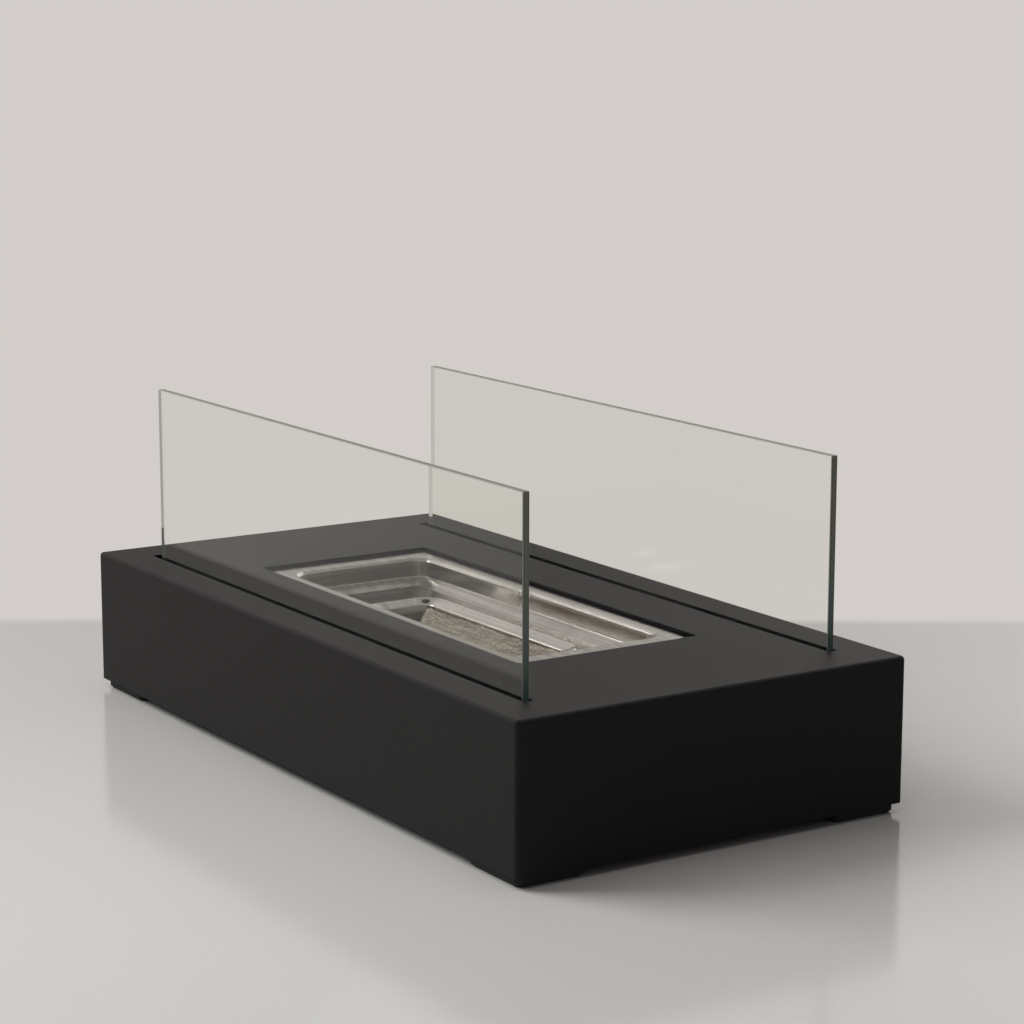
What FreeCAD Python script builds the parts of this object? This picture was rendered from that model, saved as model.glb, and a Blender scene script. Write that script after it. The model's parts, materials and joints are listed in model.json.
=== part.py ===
import FreeCAD, Part
import math
import os

from FreeCAD import Vector

# Tabletop fire pit with two glass panels. Millimetres, +Z up.
# The origin is on the surface that the feet stand on, under the middle of the housing.
# X runs along the long sides, Y from the front to the rear.

# Housing
LENGTH = 350.0
WIDTH = 180.0
SHELL_HEIGHT = 59.0
SHELL_SHEET = 1.5
BEND_INSIDE = 0.2

# Feet
FOOT_HEIGHT = 4.0
FOOT_LENGTH = 34.0
FOOT_WIDTH = 30.0
FOOT_CORNER = 3.0
FOOT_CHAMFER = 1.0
FOOT_CLEARANCE = 0.5

# Bottom plate and its brackets
PLATE_SHEET = 1.2
PLATE_RECESS = 1.0
PLATE_CLEARANCE = 0.5
BRACKET_SHEET = 1.5
BRACKET_WIDTH = 24.0
BRACKET_RISE = 20.0
BRACKET_TAB = 18.0
BRACKET_FOOT_DISTANCE = 19.0

# Screws and nuts
SCREW_RADIUS = 2.0
HEAD_RADIUS = 3.6
HEAD_HEIGHT = 2.2
HEAD_ROUND = 0.7
HEAD_RECESS = 0.5
DRIVE_WIDTH = 0.9
DRIVE_DEPTH = 1.1
HOLE_CLEARANCE = 0.2
THREAD_CLEARANCE = 0.05
SCREW_OVERRUN = 1.0
NUT_FLATS = 7.0
NUT_HEIGHT = 3.2

# Glass panels, their slots and channels
GLASS_THICKNESS = 3.0
GLASS_RISE = 77.0
GLASS_EMBED = 23.0
GLASS_ARRIS = 0.3
GLASS_END_PLAY = 10.0
GLASS_REST_GAP = 2.0
SLOT_SETBACK = 19.0
SLOT_END_MARGIN = 21.0
SLOT_CLEARANCE = 0.75
CHANNEL_SHEET = 1.0
CHANNEL_SIDE_GAP = 0.5
CHANNEL_FLANGE = 7.0
CHANNEL_END_MARGIN = 4.0
CUSHION_BASE = 2.0
CUSHION_LIP = 6.0
CUSHION_CLEARANCE = 0.1

# Burner tray and the rails that carry it
TRAY_LENGTH = 206.0
TRAY_WIDTH = 81.0
TRAY_SHEET = 0.6
TRAY_END_FLANGE = 11.5
TRAY_SIDE_FLANGE = 7.0
TRAY_OUTER_CORNER = 2.0
TRAY_FLOOR_CORNER = 2.0
TRAY_BEND_INSIDE = 1.4
TRAY_WALL = 8.4
TRAY_SLOPE_DROP = 3.1
TRAY_SLOPE_RUN = 6.0
TRAY_CREASE_BEND = 0.8
TRAY_TOE = 1.0
CUT_CLEARANCE = 1.5
CUT_CORNER = 2.0
RAIL_SHEET = 1.2
RAIL_TIP_GAP = 0.2
RAIL_JOGGLE = 0.5
RAIL_SETBACK = 1.0
RAIL_END_FLANGE = 9.0
RAIL_CHANNEL_GAP = 1.0

# Fuel cup and its filling
CUP_SHEET = 0.8
CUP_END_GAP = 24.5
CUP_SIDE_GAP = 6.5
CUP_LIP_WIDTH = 8.0
CUP_LIP_HEIGHT = 1.5
CUP_LIP_CREST = 6.0
CUP_LIP_FALL = 2.0
CUP_LIP_BEND = 1.0
CUP_FLOOR_CORNER = 1.0
CUP_DEPTH = 30.0
CUP_BOTTOM_BEND = 3.0
CUP_CLEARANCE = 0.5
LIFT_HOLE_RADIUS = 1.8
LIFT_HOLE_INSET = 2.7
LIFT_HOLE_TURN = 33.0
WOOL_CLEARANCE = 0.3
WOOL_FRONT_ROOM = 32.0
WOOL_BELOW_LIP = 2.6

# Heights
shell_bottom = FOOT_HEIGHT
top = FOOT_HEIGHT + SHELL_HEIGHT
under_top = top - SHELL_SHEET
plate_bottom = shell_bottom + PLATE_RECESS
plate_top = plate_bottom + PLATE_SHEET
ledge = under_top - RAIL_JOGGLE
tray_top = ledge + TRAY_SHEET
tray_crease = tray_top - TRAY_WALL
tray_floor = tray_crease - TRAY_SLOPE_DROP
lip_top = tray_floor + CUP_LIP_HEIGHT
lip_low = lip_top - CUP_LIP_FALL
cup_floor = lip_top - CUP_DEPTH
glass_bottom = top - GLASS_EMBED
head_seat = HEAD_RECESS + HEAD_HEIGHT
nut_top = plate_top + NUT_HEIGHT
tab_top = plate_top + BRACKET_SHEET

# Bends and corners
shell_bend = BEND_INSIDE + SHELL_SHEET
tray_bend = TRAY_BEND_INSIDE + TRAY_SHEET
tray_corner = TRAY_FLOOR_CORNER + TRAY_SLOPE_RUN
cup_corner = CUP_FLOOR_CORNER + CUP_BOTTOM_BEND
# The lip slopes down from its crest to the cup's mouth, and rests on the tray's floor from lip_rest outwards.
lip_slope = math.atan2(CUP_LIP_FALL, CUP_LIP_CREST)
lip_under = CUP_SHEET / math.cos(lip_slope)
lip_rest = (tray_floor + lip_under - lip_low) / math.tan(lip_slope)

# Half sizes and places
inner_half_x = LENGTH / 2 - SHELL_SHEET
inner_half_y = WIDTH / 2 - SHELL_SHEET
slot_y = WIDTH / 2 - SLOT_SETBACK
slot_half_x = LENGTH / 2 - SLOT_END_MARGIN
slot_half_y = GLASS_THICKNESS / 2 + SLOT_CLEARANCE
channel_half_y = slot_half_y + CHANNEL_SIDE_GAP
glass_half_x = slot_half_x - GLASS_END_PLAY / 2
glass_x = slot_half_x - GLASS_REST_GAP - glass_half_x
tray_half_x = TRAY_LENGTH / 2
tray_half_y = TRAY_WIDTH / 2
cut_half_x = tray_half_x + CUT_CLEARANCE
cut_half_y = tray_half_y + CUT_CLEARANCE
pan_half_x = tray_half_x - TRAY_END_FLANGE
pan_half_y = tray_half_y - TRAY_SIDE_FLANGE
floor_half_x = pan_half_x - TRAY_SLOPE_RUN
floor_half_y = pan_half_y - TRAY_SLOPE_RUN
cup_half_x = floor_half_x - CUP_END_GAP - CUP_LIP_WIDTH
cup_half_y = floor_half_y - CUP_SIDE_GAP - CUP_LIP_WIDTH
# The lifting hole goes round the centre of the cup's rear left corner, counted from the left.
lift_reach = cup_corner + LIFT_HOLE_INSET
lift_x = -cup_half_x + cup_corner - lift_reach * math.cos(math.radians(LIFT_HOLE_TURN))
lift_y = cup_half_y - cup_corner + lift_reach * math.sin(math.radians(LIFT_HOLE_TURN))
foot_x = inner_half_x - FOOT_CLEARANCE - FOOT_LENGTH / 2
foot_y = inner_half_y - FOOT_CLEARANCE - FOOT_WIDTH / 2
bracket_x = foot_x - FOOT_LENGTH / 2 - BRACKET_FOOT_DISTANCE
bracket_screw_y = inner_half_y - BRACKET_TAB / 2

SIDES = {"front": -1, "rear": 1}
ENDS = {"left": -1, "right": 1}
UP = Vector(0, 0, 1)


def block(x0, x1, y0, y1, z0, z1):
    """A box between two corners."""
    return Part.makeBox(x1 - x0, y1 - y0, z1 - z0, Vector(x0, y0, z0))


def outline(half_x, half_y, radius, z):
    """A closed rounded rectangle about the Z axis at height z."""
    arcs = []
    for quarter, (sx, sy) in enumerate(((1, 1), (-1, 1), (-1, -1), (1, -1))):
        centre = Vector(sx * (half_x - radius), sy * (half_y - radius), z)
        circle = Part.Circle(centre, UP, radius)
        start = quarter * math.pi / 2
        arcs.append(Part.ArcOfCircle(circle, start, start + math.pi / 2).toShape())
    edges = []
    for arc, following in zip(arcs, arcs[1:] + arcs[:1]):
        edges.append(arc)
        begin = arc.valueAt(arc.LastParameter)
        end = following.valueAt(following.FirstParameter)
        edges.append(Part.makeLine(begin, end))
    return Part.Wire(edges)


def prism(half_x, half_y, radius, z0, z1):
    """An upright block with rounded corners about the Z axis."""
    return Part.Face(outline(half_x, half_y, radius, z0)).extrude(UP * (z1 - z0))


def section(points):
    """A flat face in the XZ plane. A point (x, z) is a sharp corner, (x, z, radius) is a bend of that
    radius, and (x, z, middle x, middle z) ends an arc through the middle point."""
    edges = []
    steps = with_bends(points)
    start = Vector(steps[-1][0], 0, steps[-1][1])
    for step in steps:
        end = Vector(step[0], 0, step[1])
        if len(step) == 4:
            edges.append(Part.Arc(start, Vector(step[2], 0, step[3]), end).toShape())
        elif start.distanceToPoint(end) > 1e-6:
            edges.append(Part.makeLine(start, end))
        start = end
    return Part.Face(Part.Wire(edges))


def with_bends(points):
    """Puts a straight end and a tangent arc in place of each point (x, z, radius) of a closed outline."""
    steps = []
    for index, point in enumerate(points):
        if len(point) != 3:
            steps.append(point)
            continue
        before = points[index - 1]
        after = points[(index + 1) % len(points)]
        corner = Vector(point[0], 0, point[1])
        back = (Vector(before[0], 0, before[1]) - corner).normalize()
        ahead = (Vector(after[0], 0, after[1]) - corner).normalize()
        inward = (back + ahead).normalize()
        half_angle = back.getAngle(ahead) / 2
        begin = corner + back * (point[2] / math.tan(half_angle))
        end = corner + ahead * (point[2] / math.tan(half_angle))
        middle = corner + inward * (point[2] / math.sin(half_angle) - point[2])
        steps.append((begin.x, begin.z))
        steps.append((end.x, end.z, middle.x, middle.z))
    return steps


def fused(pieces):
    """One solid from pieces that meet face to face or overlap."""
    return pieces[0].multiFuse(pieces[1:]).removeSplitter()


def pressed_ring(profile, half_x, half_y, radius):
    """A section carried round a rounded rectangle: four straight runs and four quarter turns.
    The section's x counts outwards from the rectangle."""
    pieces = []
    for side in range(4):
        outward = (Vector(1, 0, 0), Vector(0, 1, 0), Vector(-1, 0, 0), Vector(0, -1, 0))[side]
        along = UP.cross(outward)
        reach, run = (half_x, half_y - radius) if side % 2 == 0 else (half_y, half_x - radius)
        cut = profile.copy()
        cut.rotate(Vector(), UP, 90 * side)
        cut.translate(outward * reach - along * run)
        pieces.append(cut.extrude(along * (2 * run)))
        cut.translate(along * (2 * run))
        pieces.append(cut.revolve(outward * (reach - radius) + along * run, UP, 90))
    return fused(pieces)


def long_bar(profile, half_length):
    """A section drawn as (y, z) in place of (x, z), carried along X and centred on it."""
    bar = profile.copy()
    bar.rotate(Vector(), UP, 90)
    bar.translate(Vector(-half_length, 0, 0))
    return bar.extrude(Vector(2 * half_length, 0, 0))


def at_side(shape, side):
    """A shape made for the rear, or turned half round for the front."""
    placed = shape.copy()
    if side < 0:
        placed.rotate(Vector(), UP, 180)
    return placed


def folded_housing():
    """Top and four sides in one sheet, with rounded bends, two slots and the burner's cut-out."""
    outer = block(-LENGTH / 2, LENGTH / 2, -WIDTH / 2, WIDTH / 2, shell_bottom, top)
    outer = rounded_top(outer, shell_bend, top)
    inner = block(-inner_half_x, inner_half_x, -inner_half_y, inner_half_y, shell_bottom, under_top)
    inner = rounded_top(inner, BEND_INSIDE, under_top)
    shell = outer.cut(inner)
    for side in SIDES.values():
        y = side * slot_y
        slot = block(-slot_half_x, slot_half_x, y - slot_half_y, y + slot_half_y, under_top, top)
        shell = shell.cut(slot)
    return shell.cut(prism(cut_half_x, cut_half_y, CUT_CORNER, under_top, top))


def rounded_top(body, radius, height):
    """Rounds a box's upright edges and the edges of its top face."""
    chosen = []
    for edge in body.Edges:
        box = edge.BoundBox
        upright = box.ZLength > box.XLength + box.YLength
        if upright or box.ZMin > height - 1e-6:
            chosen.append(edge)
    return body.makeFillet(radius, chosen)


def bottom_plate():
    """A flat sheet just inside the housing's lower edge, drilled for the feet and the brackets."""
    half_x = inner_half_x - PLATE_CLEARANCE
    half_y = inner_half_y - PLATE_CLEARANCE
    plate = block(-half_x, half_x, -half_y, half_y, plate_bottom, plate_top)
    for x, y in corner_points(foot_x, foot_y) + corner_points(bracket_x, bracket_screw_y):
        plate = plate.cut(hole(x, y, SCREW_RADIUS + HOLE_CLEARANCE, plate_bottom, plate_top))
    return plate


def corner_points(x, y):
    """Four places, one in each quarter."""
    return [(end * x, side * y) for side in SIDES.values() for end in ENDS.values()]


def hole(x, y, radius, z0, z1):
    """The round plug that drills a hole between two heights."""
    return Part.makeCylinder(radius, z1 - z0, Vector(x, y, z0))


def bracket(end, side):
    """An angle bracket on the inside of a long side, with a tapped tab for the bottom plate."""
    wall = inner_half_y
    profile = section([
        (wall, plate_top),
        (wall, plate_top + BRACKET_RISE),
        (wall - BRACKET_SHEET, plate_top + BRACKET_RISE),
        (wall - BRACKET_SHEET, tab_top),
        (wall - BRACKET_TAB, tab_top),
        (wall - BRACKET_TAB, plate_top),
    ])
    angle = at_side(long_bar(profile, BRACKET_WIDTH / 2), side)
    angle.translate(Vector(end * bracket_x, 0, 0))
    radius = SCREW_RADIUS + THREAD_CLEARANCE
    tap = hole(end * bracket_x, side * bracket_screw_y, radius, plate_top, tab_top)
    return angle.cut(tap)


def screw(x, y, seat, tip):
    """A cross-head screw that points up: its head is below the seat, its shank ends at the tip."""
    head_bottom = seat - HEAD_HEIGHT
    head = hole(x, y, HEAD_RADIUS, head_bottom, seat)
    rim = [edge for edge in head.Edges if edge.BoundBox.ZMax < head_bottom + 1e-6]
    head = head.makeFillet(HEAD_ROUND, rim)
    body = head.fuse(hole(x, y, SCREW_RADIUS, seat, tip))
    arm = HEAD_RADIUS / 2
    half = DRIVE_WIDTH / 2
    for reach_x, reach_y in ((arm, half), (half, arm)):
        drive = block(x - reach_x, x + reach_x, y - reach_y, y + reach_y,
                      head_bottom, head_bottom + DRIVE_DEPTH)
        body = body.cut(drive)
    return body


def nut(x, y, z0):
    """A hexagon nut that stands on a plate."""
    corner = NUT_FLATS / math.sqrt(3)
    points = []
    for step in range(7):
        turn = step * math.pi / 3
        points.append(Vector(x + corner * math.cos(turn), y + corner * math.sin(turn), z0))
    blank = Part.Face(Part.makePolygon(points)).extrude(UP * NUT_HEIGHT)
    return blank.cut(hole(x, y, SCREW_RADIUS + THREAD_CLEARANCE, z0, z0 + NUT_HEIGHT))


def foot(end, side):
    """A rubber pad under a corner, with chamfered lower edges and a sunk screw hole."""
    half_x = FOOT_LENGTH / 2
    half_y = FOOT_WIDTH / 2
    tread = outline(half_x - FOOT_CHAMFER, half_y - FOOT_CHAMFER, FOOT_CORNER, 0)
    waist = outline(half_x, half_y, FOOT_CORNER, FOOT_CHAMFER)
    sole = Part.makeLoft([tread, waist], True, True)
    pad = fused([sole, prism(half_x, half_y, FOOT_CORNER, FOOT_CHAMFER, plate_bottom)])
    pad = pad.cut(hole(0, 0, HEAD_RADIUS + HOLE_CLEARANCE, 0, head_seat))
    pad = pad.cut(hole(0, 0, SCREW_RADIUS + HOLE_CLEARANCE, head_seat, plate_bottom))
    pad.translate(Vector(end * foot_x, side * foot_y, 0))
    return pad


def glass_channel(side):
    """A folded channel under a slot, with an outer flange that lies against the top."""
    inside = channel_half_y
    outside = inside + CHANNEL_SHEET
    bed = glass_bottom - CUSHION_BASE
    profile = section([
        (slot_y - outside, bed - CHANNEL_SHEET),
        (slot_y - outside, under_top),
        (slot_y - inside, under_top),
        (slot_y - inside, bed),
        (slot_y + inside, bed),
        (slot_y + inside, under_top),
        (slot_y + outside + CHANNEL_FLANGE, under_top),
        (slot_y + outside + CHANNEL_FLANGE, under_top - CHANNEL_SHEET),
        (slot_y + outside, under_top - CHANNEL_SHEET),
        (slot_y + outside, bed - CHANNEL_SHEET),
    ])
    return at_side(long_bar(profile, slot_half_x + CHANNEL_END_MARGIN), side)


def glass_cushion(side):
    """A grooved silicone strip in the channel, which the panel's lower edge stands in."""
    outside = channel_half_y - CUSHION_CLEARANCE
    groove = GLASS_THICKNESS / 2 + CUSHION_CLEARANCE
    bed = glass_bottom - CUSHION_BASE
    lip = glass_bottom + CUSHION_LIP
    profile = section([
        (slot_y - outside, bed),
        (slot_y - outside, lip),
        (slot_y - groove, lip),
        (slot_y - groove, glass_bottom),
        (slot_y + groove, glass_bottom),
        (slot_y + groove, lip),
        (slot_y + outside, lip),
        (slot_y + outside, bed),
    ])
    return at_side(long_bar(profile, slot_half_x), side)


def glass_panel(side):
    """A toughened glass pane with ground arrises, upright in its slot and nearer to its right end."""
    y = side * slot_y
    half = GLASS_THICKNESS / 2
    left = glass_x - glass_half_x
    right = glass_x + glass_half_x
    pane = block(left, right, y - half, y + half, glass_bottom, top + GLASS_RISE)
    return pane.makeChamfer(GLASS_ARRIS, pane.Edges)


def rail_section(tip, web, heel):
    """A joggled ledge: welded flat under the top from its web to its heel, with its tip a little lower
    under the tray's flange."""
    return section([
        (tip, ledge - RAIL_SHEET),
        (tip, ledge),
        (web, ledge),
        (web, under_top),
        (heel, under_top),
        (heel, under_top - RAIL_SHEET),
        (web + RAIL_SHEET, under_top - RAIL_SHEET),
        (web + RAIL_SHEET, ledge - RAIL_SHEET),
    ])


def long_burner_rail(side):
    """The ledge along a long side of the cut-out, which reaches out to the glass channel."""
    tip = pan_half_y + tray_bend + RAIL_TIP_GAP
    web = cut_half_y + RAIL_SETBACK
    heel = slot_y - channel_half_y - CHANNEL_SHEET - RAIL_CHANNEL_GAP
    return at_side(long_bar(rail_section(tip, web, heel), pan_half_x), side)


def end_burner_rail(end):
    """The ledge along a short end of the cut-out, between the two long ledges."""
    tip = pan_half_x + tray_bend + RAIL_TIP_GAP
    web = cut_half_x + RAIL_SETBACK
    profile = rail_section(tip, web, web + RAIL_SHEET + RAIL_END_FLANGE)
    half = pan_half_y - tray_corner
    profile.translate(Vector(0, -half, 0))
    return at_side(profile.extrude(Vector(0, 2 * half, 0)), end)


def burner_tray():
    """A pressed pan: flange, rounded bend, upright wall, sloped edge and a floor with the cup's hole."""
    sheet = TRAY_SHEET
    slope = math.atan2(TRAY_SLOPE_DROP, TRAY_SLOPE_RUN)
    underside = tray_top - sheet
    floor_under = tray_floor - sheet
    inner_end = -TRAY_SLOPE_RUN - TRAY_TOE
    # The lower line follows the upper one at the sheet's thickness.
    profile = section([
        (tray_bend, tray_top),
        (0, tray_top, tray_bend),
        (0, tray_crease, TRAY_CREASE_BEND),
        (-TRAY_SLOPE_RUN, tray_floor, TRAY_CREASE_BEND),
        (inner_end, tray_floor),
        (inner_end, floor_under),
        (-TRAY_SLOPE_RUN + sheet * math.tan(slope / 2), floor_under, TRAY_CREASE_BEND + sheet),
        (sheet, tray_crease - sheet * math.tan((math.pi / 2 - slope) / 2), TRAY_CREASE_BEND + sheet),
        (sheet, underside, TRAY_BEND_INSIDE),
        (tray_bend, underside),
    ])
    walls = pressed_ring(profile, pan_half_x, pan_half_y, tray_corner)
    flange = prism(tray_half_x, tray_half_y, TRAY_OUTER_CORNER, underside, tray_top)
    mouth_x = pan_half_x + tray_bend
    mouth_y = pan_half_y + tray_bend
    mouth = prism(mouth_x, mouth_y, tray_corner + tray_bend, underside, tray_top)
    flat_x = floor_half_x - TRAY_TOE
    flat_y = floor_half_y - TRAY_TOE
    floor = prism(flat_x, flat_y, TRAY_FLOOR_CORNER - TRAY_TOE, floor_under, tray_floor)
    gap = lip_rest + CUP_CLEARANCE
    cup_hole = prism(cup_half_x + gap, cup_half_y + gap, cup_corner + gap, floor_under, tray_floor)
    return fused([walls, flange.cut(mouth), floor.cut(cup_hole)])


def fuel_cup():
    """A deep pressed cup with a funnel-shaped lip that rests on the tray's floor, and a hole to lift it by."""
    sheet = CUP_SHEET
    bend = CUP_BOTTOM_BEND
    floor_under = cup_floor - sheet
    profile = section([
        (-bend, cup_floor),
        (0, cup_floor, bend),
        (0, lip_low, CUP_LIP_BEND),
        (CUP_LIP_CREST, lip_top, CUP_LIP_BEND),
        (CUP_LIP_WIDTH, tray_floor),
        (lip_rest, tray_floor),
        (sheet, lip_low + sheet * math.tan(lip_slope) - lip_under),
        (sheet, floor_under, bend + sheet),
        (-bend, floor_under),
    ])
    walls = pressed_ring(profile, cup_half_x, cup_half_y, cup_corner)
    floor = prism(cup_half_x - bend, cup_half_y - bend, CUP_FLOOR_CORNER, floor_under, cup_floor)
    return fused([walls, floor]).cut(hole(lift_x, lift_y, LIFT_HOLE_RADIUS, lip_low - sheet, lip_top))


def wool_pad():
    """The fibre filling: lies on the cup's floor, and its slanted left end leaves room to pour in front."""
    half_x = cup_half_x - WOOL_CLEARANCE
    half_y = cup_half_y - WOOL_CLEARANCE
    corner = cup_corner - WOOL_CLEARANCE
    bevel = CUP_BOTTOM_BEND
    wool_top = lip_top - WOOL_BELOW_LIP
    base = outline(half_x - bevel, half_y - bevel, corner - bevel, cup_floor)
    waist = outline(half_x, half_y, corner, cup_floor + bevel)
    low = Part.makeLoft([base, waist], True, True)
    pad = fused([low, prism(half_x, half_y, corner, cup_floor + bevel, wool_top)])
    rear_corner = Vector(-half_x, half_y, cup_floor)
    front_corner = Vector(-half_x, -half_y, cup_floor)
    slant_end = Vector(-half_x + WOOL_FRONT_ROOM, -half_y, cup_floor)
    room = Part.Face(Part.makePolygon([rear_corner, front_corner, slant_end, rear_corner]))
    return pad.cut(room.extrude(UP * (wool_top - cup_floor)))


def write(node, shape):
    """Writes one piece, or one group of alike pieces, under its own name."""
    shape.exportStep("parts/%s.step" % node)


os.makedirs("parts", exist_ok=True)
write("housing_shell", folded_housing())
write("bottom_plate", bottom_plate())
for side_name, side in SIDES.items():
    write(side_name + "_glass_channel", glass_channel(side))
    write(side_name + "_glass_cushion", glass_cushion(side))
    write(side_name + "_glass_panel", glass_panel(side))
    write(side_name + "_burner_rail", long_burner_rail(side))
    for end_name, end in ENDS.items():
        write("%s_%s_bracket" % (side_name, end_name), bracket(end, side))
        write("%s_%s_foot" % (side_name, end_name), foot(end, side))
for end_name, end in ENDS.items():
    write(end_name + "_burner_rail", end_burner_rail(end))
write("burner_tray", burner_tray())
write("fuel_cup", fuel_cup())
write("wool_pad", wool_pad())

foot_places = corner_points(foot_x, foot_y)
foot_tip = nut_top + SCREW_OVERRUN
write("foot_screws", Part.makeCompound([screw(x, y, head_seat, foot_tip) for x, y in foot_places]))
write("foot_nuts", Part.makeCompound([nut(x, y, plate_top) for x, y in foot_places]))

plate_places = corner_points(bracket_x, bracket_screw_y)
plate_tip = tab_top + SCREW_OVERRUN
plate_screws = [screw(x, y, plate_bottom, plate_tip) for x, y in plate_places]
write("bottom_plate_screws", Part.makeCompound(plate_screws))
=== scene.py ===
import json
import math

import bmesh
import bpy
from mathutils import Matrix, Vector, noise


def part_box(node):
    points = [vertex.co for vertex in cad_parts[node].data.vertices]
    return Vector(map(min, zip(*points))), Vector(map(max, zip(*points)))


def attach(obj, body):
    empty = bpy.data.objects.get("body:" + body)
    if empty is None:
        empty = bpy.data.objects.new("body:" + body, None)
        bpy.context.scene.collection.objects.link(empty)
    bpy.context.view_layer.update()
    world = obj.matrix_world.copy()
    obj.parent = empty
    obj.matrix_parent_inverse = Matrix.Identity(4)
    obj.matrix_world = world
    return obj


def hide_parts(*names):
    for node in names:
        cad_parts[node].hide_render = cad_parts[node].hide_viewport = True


# Looks of a tabletop fire pit: a black powder-coated box, two glass panes in slots, a pressed
# stainless steel burner with a fibre-filled fuel cup, and rubber pads. Metres, in the part's frame.

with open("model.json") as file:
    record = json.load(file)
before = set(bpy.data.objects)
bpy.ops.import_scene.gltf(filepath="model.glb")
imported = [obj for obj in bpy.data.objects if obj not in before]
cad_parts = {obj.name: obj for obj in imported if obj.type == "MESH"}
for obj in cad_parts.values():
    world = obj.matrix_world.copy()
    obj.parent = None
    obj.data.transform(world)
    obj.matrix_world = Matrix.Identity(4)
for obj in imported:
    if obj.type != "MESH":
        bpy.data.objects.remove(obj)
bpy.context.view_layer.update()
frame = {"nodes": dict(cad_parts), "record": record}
nodes = frame["nodes"]

# Camera, as the photograph sees the object, with angles in degrees
VIEW_AZIMUTH = 57.10
VIEW_ELEVATION = 10.88
VIEW_ROLL = 0.086
VIEW_PLACE = Vector((0.9729, -0.6082, 0.3211))
FOCAL_PIXELS = 2786.0
IMAGE_PIXELS = 1024.0
SENSOR = 36.0

# Stage
FLOOR_REACH = 30.0
# The floor's near colour, and its far colour darkened as painted shade
FLOOR_NEAR_COLOUR = (0.630, 0.631, 0.622, 1)
FLOOR_FAR_COLOUR = (0.450, 0.446, 0.440, 1)
WALL_COLOUR = (0.650, 0.613, 0.590, 1)
HORIZON_NEAR = 0.221
HORIZON_FAR = 0.239
FLOOR_FADE_START = -0.35
FLOOR_FADE = 0.92
FLOOR_SPECK = 0.36
FLOOR_LIFT = 0.14
AMBIENT = 0.28
MIRRORED_ROOM = 0.62
# Places in the mirrored room that differ from the rest, three bright windows and a dark corner: azimuth,
# elevation, the cosines from their middle where they begin and are full, and their share of the
# wall's light
MIRRORED_PLACES = (
    (-66.0, 29.0, 0.84, 0.97, 1.5),
    (-112.0, 27.0, 0.95, 0.99, 1.15),
    (-157.0, 20.0, 0.83, 0.98, 2.30),
    (100.0, -5.0, 0.45, 0.9, 0.08),
)

# Places that the finishes follow
shell_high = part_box("housing_shell")[1]
pane_low, pane_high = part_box("rear_glass_panel")
tray_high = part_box("burner_tray")[1]
cup_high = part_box("fuel_cup")[1]
wool_low, wool_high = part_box("wool_pad")
pane_middle = (pane_low.y + pane_high.y) / 2

# How far the finishes reach. A pair says where a change begins and where it is full
# Width of the band along the housing's bends that takes a painted highlight
BEND_HIGHLIGHT_WIDTH = 0.0022
# Depths in the cup over which a painted shade darkens the steel
CUP_DARK_DEPTHS = (0.0060, 0.0028)
FLANGE_BEND_DEPTHS = (0.0032, 0.0020)
# Depths and left-right span of a painted brown shade under the rear flange
FLANGE_SHADE_DEPTHS = (0.0080, 0.0045)
FLANGE_SHADE_START = (-0.040, 0.015)
REAR_WALL_ZONE = 0.016
PANE_END_ZONE = 0.002
PANE_TOP_ZONE = 0.020
PANE_CORE = (0.0005, 0.0012)

# Fibre filling
FILLING_GRAIN = 0.0007
CRUMBLED_SHARE = 0.2
SINK_LEFT = 0.0010
SINK_RIGHT = 0.0003
CRUMB_HEIGHT = 0.0006
FIBRES_IN_A_SQUARE_METRE = 900000.0
FIBRE_LENGTH = 0.0026
FIBRE_RADIUS = 0.00009
FIBRE_BOW = 0.22
FIBRE_TILT = 0.35
FIBRE_SIZES = (0.5, 1.2)
FIBRE_SEED = 7
STREWN_SLOPE = 0.55


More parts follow.
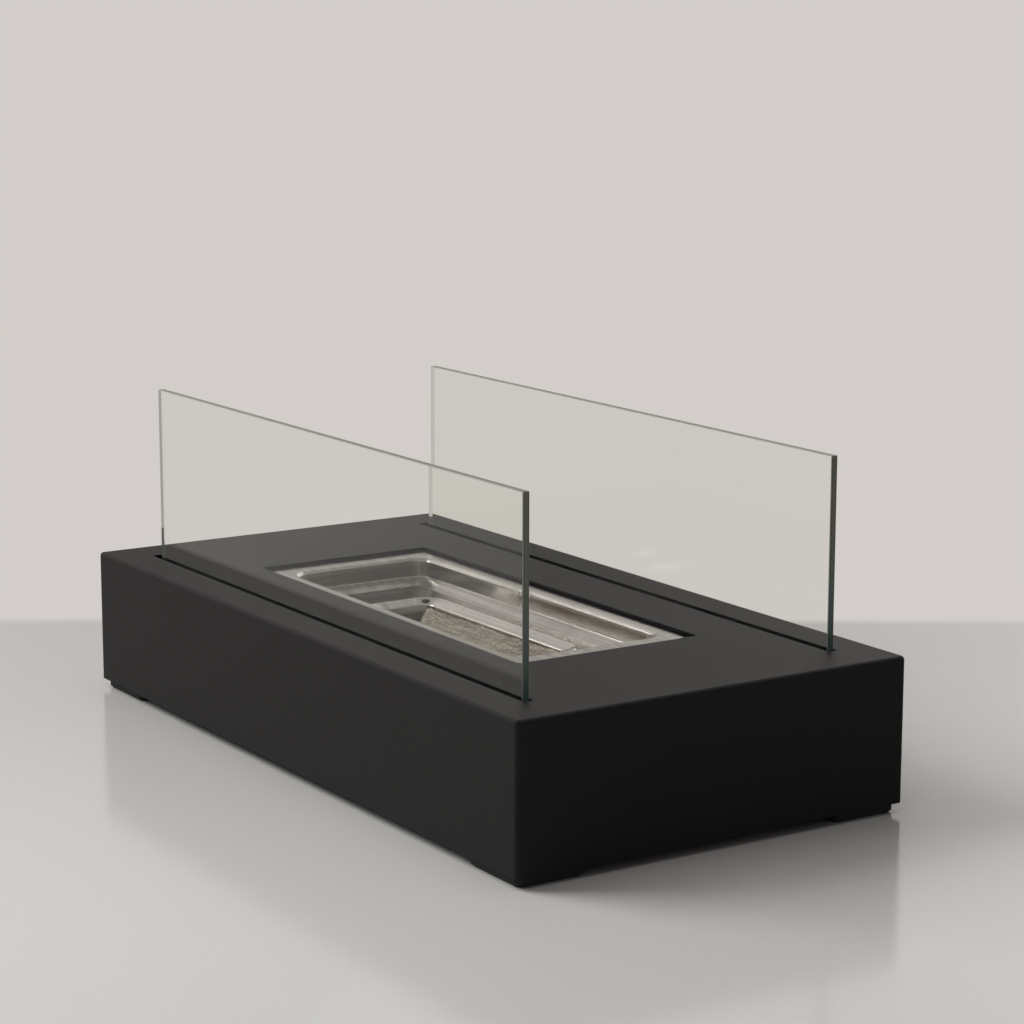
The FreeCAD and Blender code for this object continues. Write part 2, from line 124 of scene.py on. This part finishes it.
class Wire:
    """A shader socket that can be added, multiplied and compared like a number."""

    def __init__(self, tree, socket):
        self.tree = tree
        self.socket = socket

    def node(self, kind, settings=None, sockets=None, output=0):
        """Adds a node, sets it up, then feeds its sockets, and gives one of its outputs."""
        made = self.tree.nodes.new(kind)
        for name, value in (settings or {}).items():
            if name == "stops":
                set_stops(made.color_ramp, value)
            else:
                setattr(made, name, value)
        for name, value in (sockets or {}).items():
            if isinstance(value, Wire):
                self.tree.links.new(value.socket, made.inputs[name])
            else:
                made.inputs[name].default_value = value
        return Wire(self.tree, made.outputs[output])

    def also(self, output):
        """Another output of the same node."""
        return Wire(self.tree, self.socket.node.outputs[output])

    def math(self, operation, *others):
        sockets = dict(enumerate((self,) + others))
        return self.node("ShaderNodeMath", {"operation": operation}, sockets)

    def __add__(self, other):
        return self.math("ADD", other)

    __radd__ = __add__

    def __mul__(self, other):
        return self.math("MULTIPLY", other)

    __rmul__ = __mul__

    def __sub__(self, other):
        return self.math("SUBTRACT", other)

    def __rsub__(self, other):
        return self.node("ShaderNodeMath", {"operation": "SUBTRACT"}, {0: other, 1: self})

    def __abs__(self):
        return self.math("ABSOLUTE")

    def __gt__(self, other):
        return self.math("GREATER_THAN", other)

    def smooth(self, low, high):
        """0 below low, 1 above high, and a smooth rise between them."""
        return self.node("ShaderNodeMapRange", {"interpolation_type": "SMOOTHSTEP"},
                         {"Value": self, "From Min": low, "From Max": high})

    def between(self, first, second):
        """A colour between two, with this value as the share of the second. Inputs 6 and 7 and output 2
        of a Mix node are its colours."""
        return self.node("ShaderNodeMix", {"data_type": "RGBA"},
                         {"Factor": self, 6: first, 7: second}, output=2)

    def scaled(self, x, y, z):
        """A vector with each of its parts multiplied."""
        parts = self.node("ShaderNodeSeparateXYZ", None, {0: self})
        return self.node("ShaderNodeCombineXYZ", None,
                         {"X": parts * x, "Y": parts.also("Y") * y, "Z": parts.also("Z") * z})

    def grain(self, scale, detail=2.0, roughness=0.5):
        """Cloudy noise from 0 to 1, with about scale lumps in a metre."""
        return self.node("ShaderNodeTexNoise", None,
                         {"Vector": self, "Scale": scale, "Detail": detail, "Roughness": roughness})

    def bump(self, strength, distance):
        """A normal for this value taken as a height."""
        return self.node("ShaderNodeBump", None,
                         {"Height": self, "Strength": strength, "Distance": distance})


def set_stops(ramp, stops):
    """Gives a colour ramp its stops, each a position and a colour."""
    while len(ramp.elements) < len(stops):
        ramp.elements.new(1.0)
    for element, (position, colour) in zip(ramp.elements, stops):
        element.position = position
        element.color = colour


def start_finish(name):
    """A new material with nothing in it, and the object coordinates that its patterns read."""
    material = bpy.data.materials.new(name)
    material.use_nodes = True
    material.node_tree.nodes.clear()
    place = Wire(material.node_tree, None).node("ShaderNodeTexCoord", output="Object")
    return material, place


def principled(place, **sockets):
    """A Principled shader, with its sockets named with _ in place of spaces."""
    return place.node("ShaderNodeBsdfPrincipled", None,
                      {name.replace("_", " "): value for name, value in sockets.items()})


def end_finish(shader):
    """Closes a material with its shader."""
    output = shader.tree.nodes.new("ShaderNodeOutputMaterial")
    shader.tree.links.new(shader.socket, output.inputs["Surface"])


def powder_coat():
    """Matt black coat with a fine orange-peel grain, and a painted highlight that lightens its bends, which
    are also a little glossier.
    """
    material, place = start_finish("powder_coat")
    parts = place.node("ShaderNodeSeparateXYZ", None, {0: place})
    peel = place.grain(1500.0, 3.0, 0.6)
    cloud = place.grain(14.0, 3.0)
    along = abs(parts).smooth(shell_high.x - BEND_HIGHLIGHT_WIDTH, shell_high.x)
    across = abs(parts.also("Y")).smooth(shell_high.y - BEND_HIGHLIGHT_WIDTH, shell_high.y)
    upward = parts.also("Z").smooth(shell_high.z - BEND_HIGHLIGHT_WIDTH, shell_high.z)
    bend = along * across + along * upward + across * upward
    # The bend term lightens the colour as a painted highlight, and makes the bends a little glossier
    tone = cloud * 0.35 + peel * 0.4 + bend * 0.5
    colour = tone.between((0.0046, 0.0044, 0.0044, 1), (0.0112, 0.0108, 0.0106, 1))
    rough = 0.48 + 0.10 * peel + 0.05 * cloud - 0.05 * bend
    end_finish(principled(place, Base_Color=colour, Roughness=rough, Specular_IOR_Level=0.24,
                          Normal=peel.bump(0.28, 0.00025)))
    return material


def black_plate():
    """Plain thin black coat on the folded pieces inside."""
    material, place = start_finish("black_plate")
    fleck = place.grain(900.0, 2.0)
    cloud = place.grain(25.0, 3.0)
    colour = (cloud * 0.7 + fleck * 0.3).between((0.012, 0.012, 0.012, 1), (0.028, 0.028, 0.027, 1))
    end_finish(principled(place, Base_Color=colour, Roughness=0.42 + 0.2 * fleck,
                          Normal=fleck.bump(0.15, 0.0002)))
    return material


def below(top, depths):
    """The heights that lie at the given depths under a piece's top."""
    return [top.z - depth for depth in depths]


def stainless_steel():
    """Brushed sheet: fine lines along the long way of each face, rougher on the drawn walls, painted light
    on the end walls, painted shade darkening the inside of the cup and a painted brown shade under the
    right part of the rear flange."""
    material, place = start_finish("stainless_steel")
    facing = place.node("ShaderNodeNewGeometry", output="Normal")
    turned = place.node("ShaderNodeSeparateXYZ", None, {0: facing})
    end_wall = abs(turned) > 0.75
    wall = 1 - abs(turned.also("Z")).smooth(0.2, 0.8)
    parts = place.node("ShaderNodeSeparateXYZ", None, {0: place})
    height = parts.also("Z")
    across = 400.0 - 390.0 * end_wall
    lines = place.scaled(8.0, across, 400.0).grain(1.0, 2.0, 0.5)
    stain = place.grain(35.0, 4.0, 0.6).smooth(0.35, 0.75)
    # Painted shade: the steel darkens deeper inside the cup, which is also rougher there
    inside = 1 - height.smooth(*below(cup_high, CUP_DARK_DEPTHS))
    bend = height.smooth(*below(tray_high, FLANGE_BEND_DEPTHS))
    # Painted shade: a brown band on the rear wall under the right part of the flange, below its bend
    under_flange = height.smooth(*below(tray_high, FLANGE_SHADE_DEPTHS)) * (1 - bend)
    rear_wall = wall * (parts.also("Y") > tray_high.y - REAR_WALL_ZONE)
    flange_shade = under_flange * rear_wall * parts.smooth(*FLANGE_SHADE_START) * (0.45 + 0.55 * stain)
    brushed = stain * 0.4 + lines.smooth(0.3, 0.7) * 0.6
    bright = brushed.between((0.60, 0.585, 0.56, 1), (0.34, 0.325, 0.30, 1))
    # Painted light: the end walls take a lighter colour than the other faces
    end_wall_painted_light = brushed.between((0.80, 0.78, 0.75, 1), (0.44, 0.42, 0.39, 1))
    clean = inside.between(end_wall.between(bright, end_wall_painted_light), (0.24, 0.225, 0.22, 1))
    colour = flange_shade.between(clean, (0.15, 0.105, 0.075, 1))
    rough = 0.10 + 0.10 * lines + 0.06 * stain + 0.10 * inside + 0.08 * wall + 0.14 * end_wall
    end_finish(principled(place, Base_Color=colour, Metallic=1.0, Roughness=rough,
                          Normal=lines.bump(0.06, 0.0002)))
    return material


def clear_glass():
    """Float glass: nearly colourless, with satin ground edges in the green of the glass. The left ends
    are mostly clear from within, and the front pane mirrors more than the rear one."""
    material, place = start_finish("clear_glass")
    facing = place.node("ShaderNodeNewGeometry", output="Normal")
    turned = place.node("ShaderNodeSeparateXYZ", None, {0: facing})
    parts = place.node("ShaderNodeSeparateXYZ", None, {0: place})
    flatness = abs(turned.also("Y"))
    front = 1 - (parts.also("Y") > 0.0)
    left_end = (abs(turned) > 0.5) * (1 - (parts > pane_low.x + PANE_END_ZONE))
    clear_end = left_end * place.node("ShaderNodeNewGeometry", output="Backfacing") * (0.8 - 0.25 * front)
    edge = (1 - flatness.smooth(0.75, 0.95)) * (1 - clear_end)
    low = 1 - parts.also("Z").smooth(shell_high.z, pane_high.z - PANE_TOP_ZONE)
    middle = abs(abs(parts.also("Y")) - pane_middle)
    streak = place.scaled(1.0, 900.0, 25.0).grain(1.0, 3.0)
    ground = low.between((0.22, 0.22, 0.175, 1), (0.12, 0.20, 0.18, 1))
    dark = (middle.smooth(*PANE_CORE) * 0.75 + streak * 0.25).between(ground, (0.06, 0.08, 0.072, 1))
    cut = flatness.smooth(0.4, 0.6).between(dark, (0.30, 0.33, 0.30, 1))
    rear_face, front_face = [
        principled(place, Base_Color=(0.93, 0.94, 0.91, 1), Roughness=0.0, IOR=index,
                   Specular_Tint=(0.0, 0.0, 0.0, 1), Transmission_Weight=1.0) for index in (1.12, 1.28)]
    face = place.node("ShaderNodeMixShader", None, {0: front, 1: rear_face, 2: front_face})
    rim = principled(place, Base_Color=cut, Roughness=0.30 + 0.1 * streak, Specular_IOR_Level=0.35)
    end_finish(place.node("ShaderNodeMixShader", None, {0: edge, 1: face, 2: rim}))
    return material


def foot_rubber():
    """Matt black rubber with a fine mottle."""
    material, place = start_finish("foot_rubber")
    mottle = place.grain(1100.0, 3.0)
    colour = mottle.between((0.008, 0.008, 0.008, 1), (0.020, 0.020, 0.020, 1))
    end_finish(principled(place, Base_Color=colour, Roughness=0.72 + 0.15 * mottle,
                          Normal=mottle.bump(0.3, 0.0002)))
    return material


def silicone():
    """Dark translucent-looking silicone with a soft sheen."""
    material, place = start_finish("silicone")
    mottle = place.grain(300.0, 2.0)
    colour = mottle.between((0.030, 0.030, 0.031, 1), (0.055, 0.055, 0.056, 1))
    end_finish(principled(place, Base_Color=colour, Roughness=0.45 + 0.1 * mottle,
                          Normal=mottle.bump(0.1, 0.0002)))
    return material


def zinc_steel():
    """Zinc plate: a fine spangle with a faint yellow-blue cast."""
    material, place = start_finish("zinc_steel")
    spangle = place.node("ShaderNodeTexVoronoi", None, {"Vector": place, "Scale": 700.0})
    cast = place.grain(120.0, 3.0)
    colour = cast.between((0.60, 0.62, 0.66, 1), (0.68, 0.65, 0.56, 1))
    end_finish(principled(place, Base_Color=colour, Metallic=1.0, Roughness=0.30 + 0.25 * spangle,
                          Normal=spangle.bump(0.1, 0.0002)))
    return material


def ceramic_wool():
    """Scorched mineral fibre: pale beige crumbs over brown."""
    material, place = start_finish("ceramic_wool")
    crumb = place.grain(900.0, 4.0, 0.7)
    patch = place.grain(90.0, 3.0)
    layer = place.scaled(25.0, 420.0, 420.0).grain(1.0, 3.0, 0.6)
    mixed = place.node(
        "ShaderNodeValToRGB",
        {"stops": [(0.34, (0.15, 0.118, 0.092, 1)), (0.50, (0.35, 0.305, 0.255, 1)),
                   (0.68, (0.74, 0.69, 0.61, 1))]},
        {"Fac": crumb * 0.45 + patch * 0.2 + layer * 0.35})
    end_finish(principled(place, Base_Color=mixed, Roughness=0.92, Normal=crumb.bump(0.6, 0.0006)))
    return material


FINISHES = {
    "powder_coat": powder_coat(),
    "black_plate": black_plate(),
    "stainless_steel": stainless_steel(),
    "clear_glass": clear_glass(),
    "foot_rubber": foot_rubber(),
    "silicone": silicone(),
    "zinc_steel": zinc_steel(),
    "ceramic_wool": ceramic_wool(),
}


def dress_nodes():
    """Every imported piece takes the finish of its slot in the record."""
    for part in frame["record"]["subparts"]:
        mesh = nodes[part["node"]].data
        mesh.materials.clear()
        mesh.materials.append(FINISHES[part["material_slot"]])


def new_piece(name, mesh):
    """An object for a finished mesh, at the origin."""
    piece = bpy.data.objects.new(name, mesh)
    bpy.context.scene.collection.objects.link(piece)
    return piece


def fibre_bed(name):
    """The filling's body: its plain solid, remeshed fine, sunk to the left and crumbled on top."""
    mesh = bpy.data.meshes.new(name)
    block = bmesh.new()
    block.from_mesh(nodes["wool_pad"].data)
    bmesh.ops.remove_doubles(block, verts=block.verts[:], dist=1e-6)
    block.to_mesh(mesh)
    block.free()
    piece = new_piece(name, mesh)
    remesh = piece.modifiers.new("fine", "REMESH")
    remesh.mode = "VOXEL"
    remesh.voxel_size = FILLING_GRAIN
    graph = bpy.context.evaluated_depsgraph_get()
    fine = bpy.data.meshes.new_from_object(piece.evaluated_get(graph))
    piece.modifiers.clear()
    piece.data = fine
    for vert in fine.vertices:
        level = (vert.co.z - wool_low.z) / (wool_high.z - wool_low.z)
        share = max(0.0, level - (1 - CRUMBLED_SHARE)) / CRUMBLED_SHARE
        rise = min(1.0, max(0.0, vert.co.x / wool_high.x))
        crumb = noise.fractal(vert.co * 420.0, 1.0, 2.1, 4) + 0.6 * noise.noise(vert.co * 110.0)
        sink = SINK_LEFT + (SINK_RIGHT - SINK_LEFT) * rise - CRUMB_HEIGHT * crumb
        vert.co.z -= share * max(0.0, sink)
    return piece


def fibre_tree():
    """Short bent fibres strewn over the upward faces of a bed, joined to it."""
    tree = bpy.data.node_groups.new("strewn_fibres", "GeometryNodeTree")
    face = tree.interface
    face.new_socket("Bed", in_out="INPUT", socket_type="NodeSocketGeometry")
    for label in ("Fibres in a square metre", "Fibre length", "Fibre radius"):
        face.new_socket(label, in_out="INPUT", socket_type="NodeSocketFloat")
    face.new_socket("Seed", in_out="INPUT", socket_type="NodeSocketInt")
    face.new_socket("Finish", in_out="INPUT", socket_type="NodeSocketMaterial")
    face.new_socket("Wool", in_out="OUTPUT", socket_type="NodeSocketGeometry")

    def add(kind, settings=None, **links):
        made = tree.nodes.new(kind)
        for key, value in (settings or {}).items():
            setattr(made, key, value)
        for key, value in links.items():
            socket = made.inputs[key.replace("_", " ")]
            if isinstance(value, bpy.types.NodeSocket):
                tree.links.new(value, socket)
            else:
                socket.default_value = value
        return made

    given = add("NodeGroupInput")

    def length_share(share):
        part = add("ShaderNodeMath", {"operation": "MULTIPLY"})
        tree.links.new(given.outputs["Fibre length"], part.inputs[0])
        part.inputs[1].default_value = share
        return part.outputs[0]

    normal = add("GeometryNodeInputNormal")
    upward = add("ShaderNodeSeparateXYZ", Vector=normal.outputs[0])
    is_top = add("FunctionNodeCompare", {"data_type": "FLOAT", "operation": "GREATER_THAN"},
                 A=upward.outputs["Z"], B=STREWN_SLOPE)
    strewn = add("GeometryNodeDistributePointsOnFaces", Mesh=given.outputs["Bed"],
                 Selection=is_top.outputs[0], Density=given.outputs["Fibres in a square metre"],
                 Seed=given.outputs["Seed"])
    start = add("ShaderNodeCombineXYZ", X=length_share(-0.5))
    middle = add("ShaderNodeCombineXYZ", Y=length_share(FIBRE_BOW))
    end = add("ShaderNodeCombineXYZ", X=length_share(0.5))
    bow = add("GeometryNodeCurveQuadraticBezier", Resolution=4, Start=start.outputs[0],
              Middle=middle.outputs[0], End=end.outputs[0])
    ring = add("GeometryNodeCurvePrimitiveCircle", Resolution=3, Radius=given.outputs["Fibre radius"])
    fibre = add("GeometryNodeCurveToMesh", Curve=bow.outputs[0], Profile_Curve=ring.outputs[0],
                Fill_Caps=True)
    spin = add("FunctionNodeRandomValue", {"data_type": "FLOAT_VECTOR"}, Seed=given.outputs["Seed"])
    spin.inputs[0].default_value = (-FIBRE_TILT, -FIBRE_TILT, 0.0)
    spin.inputs[1].default_value = (FIBRE_TILT, FIBRE_TILT, math.tau)
    size = add("FunctionNodeRandomValue", {"data_type": "FLOAT"}, Seed=given.outputs["Seed"])
    size.inputs[2].default_value, size.inputs[3].default_value = FIBRE_SIZES
    placed = add("GeometryNodeInstanceOnPoints", Points=strewn.outputs["Points"], Instance=fibre.outputs[0],
                 Rotation=spin.outputs[0], Scale=size.outputs[1])
    real = add("GeometryNodeRealizeInstances", Geometry=placed.outputs[0])
    joined = add("GeometryNodeJoinGeometry")
    tree.links.new(real.outputs[0], joined.inputs[0])
    tree.links.new(given.outputs["Bed"], joined.inputs[0])
    painted = add("GeometryNodeSetMaterial", Geometry=joined.outputs[0], Material=given.outputs["Finish"])
    result = add("NodeGroupOutput")
    tree.links.new(painted.outputs[0], result.inputs[0])
    return tree


def fibre_filling():
    """The wool in the cup, in the space that its plain solid holds."""
    piece = fibre_bed("fibre_filling")
    tree = fibre_tree()
    strew = piece.modifiers.new("strewn", "NODES")
    strew.node_group = tree
    wanted = {"Fibres in a square metre": FIBRES_IN_A_SQUARE_METRE, "Fibre length": FIBRE_LENGTH,
              "Fibre radius": FIBRE_RADIUS, "Seed": FIBRE_SEED, "Finish": FINISHES["ceramic_wool"]}
    for item in tree.interface.items_tree:
        if item.in_out == "INPUT" and item.name in wanted:
            strew[item.identifier] = wanted[item.name]
    graph = bpy.context.evaluated_depsgraph_get()
    mesh = bpy.data.meshes.new_from_object(piece.evaluated_get(graph))
    piece.modifiers.clear()
    piece.data = mesh
    for vert in mesh.vertices:
        for axis in range(3):
            vert.co[axis] = min(max(vert.co[axis], wool_low[axis]), wool_high[axis])
    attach(piece, "cup")
    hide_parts("wool_pad")


def direction(azimuth, elevation):
    """The way from the object to a place in the room, with angles in degrees."""
    turn = math.radians(azimuth)
    level = math.cos(math.radians(elevation))
    return Vector((level * math.sin(turn), -level * math.cos(turn), math.sin(math.radians(elevation))))


def camera_axes():
    """The camera's right, up and back directions."""
    back = direction(VIEW_AZIMUTH, VIEW_ELEVATION)
    right = direction(VIEW_AZIMUTH + 90.0, 0.0)
    up = back.cross(right)
    turn = Matrix.Rotation(math.radians(VIEW_ROLL), 3, back)
    return turn @ right, turn @ up, back


def add_camera():
    """The camera that sees the object as the photograph does."""
    lens = bpy.data.cameras.new("camera")
    lens.sensor_fit = "HORIZONTAL"
    lens.sensor_width = SENSOR
    lens.lens = SENSOR * FOCAL_PIXELS / IMAGE_PIXELS
    lens.clip_start = 0.01
    lens.clip_end = 100.0
    camera = bpy.data.objects.new("camera", lens)
    right, up, back = camera_axes()
    camera.matrix_world = Matrix.Translation(VIEW_PLACE) @ Matrix((right, up, back)).transposed().to_4x4()
    bpy.context.scene.collection.objects.link(camera)
    bpy.context.scene.camera = camera


def add_lamp(name, azimuth, elevation, distance, size, power, colour):
    """A square soft light that looks at the middle of the housing's top, and isn't mirrored itself."""
    light = bpy.data.lights.new(name, "AREA")
    light.size = size
    light.energy = power
    light.color = colour
    lamp = bpy.data.objects.new(name, light)
    away = direction(azimuth, elevation)
    place = Matrix.Translation(Vector((0.0, 0.0, shell_high.z)) + away * distance)
    lamp.matrix_world = place @ away.to_track_quat("Z", "Y").to_matrix().to_4x4()
    lamp.visible_glossy = False
    bpy.context.scene.collection.objects.link(lamp)


def seen_directly(wire):
    """1 for rays from the camera, from glossy surfaces and through glass, and 0 for light that spreads."""
    path = wire.node("ShaderNodeLightPath", output="Is Camera Ray")
    shown = path + path.also("Is Glossy Ray") + path.also("Is Transmission Ray")
    return shown.math("MINIMUM", 1.0)


def add_floor():
    """A pale, faintly speckled and mirroring floor that keeps the shadow, with painted shade darkening it
    towards the back, and turns into the even background behind the object."""
    mesh = bpy.data.meshes.new("floor")
    corners = [(-FLOOR_REACH, -FLOOR_REACH, 0), (FLOOR_REACH, -FLOOR_REACH, 0),
               (FLOOR_REACH, FLOOR_REACH, 0), (-FLOOR_REACH, FLOOR_REACH, 0)]
    mesh.from_pydata(corners, [], [(0, 1, 2, 3)])
    floor = new_piece("floor", mesh)
    material, place = start_finish("floor")
    parts = place.node("ShaderNodeSeparateXYZ", None, {0: place})
    away = -direction(VIEW_AZIMUTH, 0.0)
    behind = parts * away.x + parts.also("Y") * away.y
    far = behind.smooth(HORIZON_NEAR, HORIZON_FAR) * seen_directly(place)
    speck = place.grain(700.0, 2.0)
    # Painted shade: the floor's colour darkens from near the object to far behind it
    fade = behind.smooth(FLOOR_FADE_START, HORIZON_FAR) * FLOOR_FADE + speck * FLOOR_SPECK - FLOOR_LIFT
    colour = fade.between(FLOOR_NEAR_COLOUR, FLOOR_FAR_COLOUR)
    table = principled(place, Base_Color=colour, Roughness=0.14, Specular_IOR_Level=0.26)
    wall = place.node("ShaderNodeEmission", None, {"Color": WALL_COLOUR, "Strength": 1.0})
    end_finish(place.node("ShaderNodeMixShader", None, {0: far, 1: table, 2: wall}))
    mesh.materials.append(material)


def shade(colour, strength):
    """A colour made brighter or darker."""
    return tuple(strength * part for part in colour[:3]) + (1,)


def add_world():
    """Pale where it is seen, a soft even fill elsewhere, and a room with three bright windows and a dark
    corner where it is mirrored."""
    world = bpy.data.worlds.new("studio")
    world.use_nodes = True
    world.node_tree.nodes.clear()
    shown = seen_directly(Wire(world.node_tree, None))
    toward = shown.node("ShaderNodeTexCoord", output="Generated")
    room = shade(WALL_COLOUR, MIRRORED_ROOM)
    for azimuth, elevation, begin, full, strength in MIRRORED_PLACES:
        nearness = shown.node("ShaderNodeVectorMath", {"operation": "DOT_PRODUCT"},
                              {0: toward, 1: direction(azimuth, elevation)}, output="Value")
        room = nearness.smooth(begin, full).between(room, shade(WALL_COLOUR, strength))
    plain = shown.between(shade(WALL_COLOUR, AMBIENT), WALL_COLOUR)
    mirrored = shown.node("ShaderNodeLightPath", output="Is Glossy Ray")
    backdrop = shown.node("ShaderNodeBackground", None, {"Color": mirrored.between(plain, room)})
    output = world.node_tree.nodes.new("ShaderNodeOutputWorld")
    world.node_tree.links.new(backdrop.socket, output.inputs["Surface"])
    bpy.context.scene.world = world


dress_nodes()
fibre_filling()
add_floor()
add_world()
add_camera()
add_lamp("window", azimuth=-42.0, elevation=38.0, distance=1.9, size=1.1, power=36.0,
         colour=(1.0, 0.985, 0.965))
add_lamp("ceiling", azimuth=0.0, elevation=84.0, distance=2.2, size=1.6, power=12.0,
         colour=(1.0, 0.99, 0.975))
bpy.context.scene.view_settings.view_transform = "Standard"
